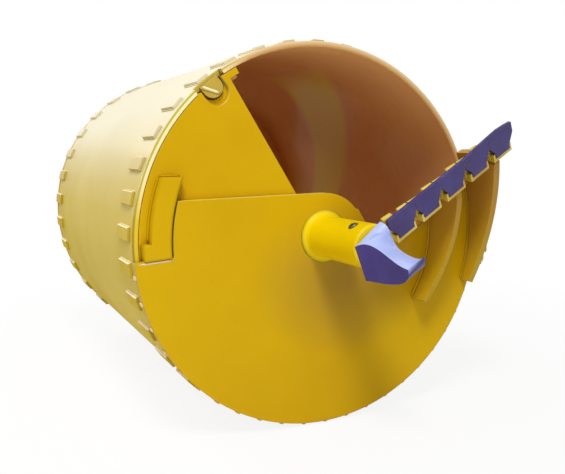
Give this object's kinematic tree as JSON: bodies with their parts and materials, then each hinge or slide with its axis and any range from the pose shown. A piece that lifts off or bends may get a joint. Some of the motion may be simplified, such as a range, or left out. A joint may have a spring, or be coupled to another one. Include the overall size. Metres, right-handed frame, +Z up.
{
  "type": "drilling bucket",
  "caption": "Rotary drilling bucket lying on its side: steel barrel with a hinged flap, a rotating cutting bottom with a toothed row and pilot bit, and a square kelly box",
  "frame": {"origin": "where the kelly pin's axis crosses the bucket's own axis, inside the kelly box", "axes": "+X along the kelly pin, to the right for someone who looks into the mouth; +Y along the bucket's axis from the cutting end to the kelly box; +Z up, with the bucket lying on its side"},
  "size_m": [1.1852, 1.997, 1.1155],
  "materials": {
    "shell_paint": "glossy yellow paint over rolled plate",
    "bottom_paint": "glossy yellow paint over flame-cut plate",
    "hub_paint": "glossy yellow paint over turned tube",
    "tooth_steel": "violet-blue lacquered hardfaced steel",
    "bearing_bronze": "turned bronze, greased",
    "pin_steel": "turned steel, bare",
    "hardfacing": "weld-laid wear bars under yellow paint",
    "zinc_bolt": "zinc-plated bolts",
    "spring_steel": "black spring steel"
  },
  "bodies": {
    "barrel": {"shell": "shell_paint", "top_plate": "shell_paint", "flap_stops": "shell_paint", "front_wear_bars": "hardfacing", "rear_wear_bars": "hardfacing", "kelly_box": "shell_paint", "kelly_collar": "shell_paint", "kelly_gussets": "shell_paint", "rod_guides": "shell_paint", "rod_guard": "shell_paint", "latch_cheeks": "shell_paint", "latch_pivot_pin": "pin_steel", "hinge_lugs": "shell_paint", "hinge_pin": "pin_steel", "hinge_cotters": "pin_steel"},
    "flap": {"inner_plate": "bottom_paint", "stop_lug": "bottom_paint", "hub_housing": "bottom_paint", "pivot_bush": "bearing_bronze", "thrust_washer": "bearing_bronze", "flap_ribs": "bottom_paint", "hinge_arms": "bottom_paint"},
    "cutting_bottom": {"rotating_plate": "bottom_paint", "rim_beads": "hardfacing", "kingpin": "pin_steel", "kingpin_retainer": "pin_steel", "retainer_bolts": "zinc_bolt", "ramp_plate": "bottom_paint", "ramp_web": "bottom_paint", "cutter_bar": "bottom_paint", "side_wing": "bottom_paint", "middle_fin": "bottom_paint", "tooth_holder_1": "bottom_paint", "tooth_holder_2": "bottom_paint", "tooth_holder_3": "bottom_paint", "tooth_holder_4": "bottom_paint", "tooth_holder_5": "bottom_paint", "tooth_1": "tooth_steel", "tooth_2": "tooth_steel", "tooth_3": "tooth_steel", "tooth_4": "tooth_steel", "tooth_5": "tooth_steel", "tooth_pins": "pin_steel", "pilot_holder": "hub_paint", "pilot_bit": "tooth_steel", "pilot_pin": "pin_steel"},
    "release_rod": {"push_rod": "pin_steel", "link_pin": "pin_steel", "trigger_plate": "shell_paint", "spring_collar": "pin_steel", "rod_spring": "spring_steel"},
    "latch_hook": {"latch_hook": "bottom_paint"}
  },
  "joints": [
    {"name": "flap_hinge", "type": "hinge", "parent": "barrel", "child": "flap", "pos_m": [0.592, -1.4625, 0], "axis": [0, 0, 1], "range_deg": [0, 95]},
    {"name": "bottom_turn", "type": "hinge", "parent": "flap", "child": "cutting_bottom", "pos_m": [0, -1.475, 0], "axis": [0, -1, 0], "range_deg": [0, 141]},
    {"name": "release_rod_slide", "type": "slide", "parent": "barrel", "child": "release_rod", "axis": [0, 1, 0], "range_m": [0, 0.00935]},
    {"name": "latch_hook_turn", "type": "hinge", "parent": "barrel", "child": "latch_hook", "pos_m": [-0.30735, -1.37, 0.39057], "axis": [0.7859, 0, 0.6184], "range_deg": [0, 12]}
  ],
  "couplings": [
    {"joint": "latch_hook_turn", "follows": "release_rod_slide", "rad_per_m": 22.38}
  ]
}
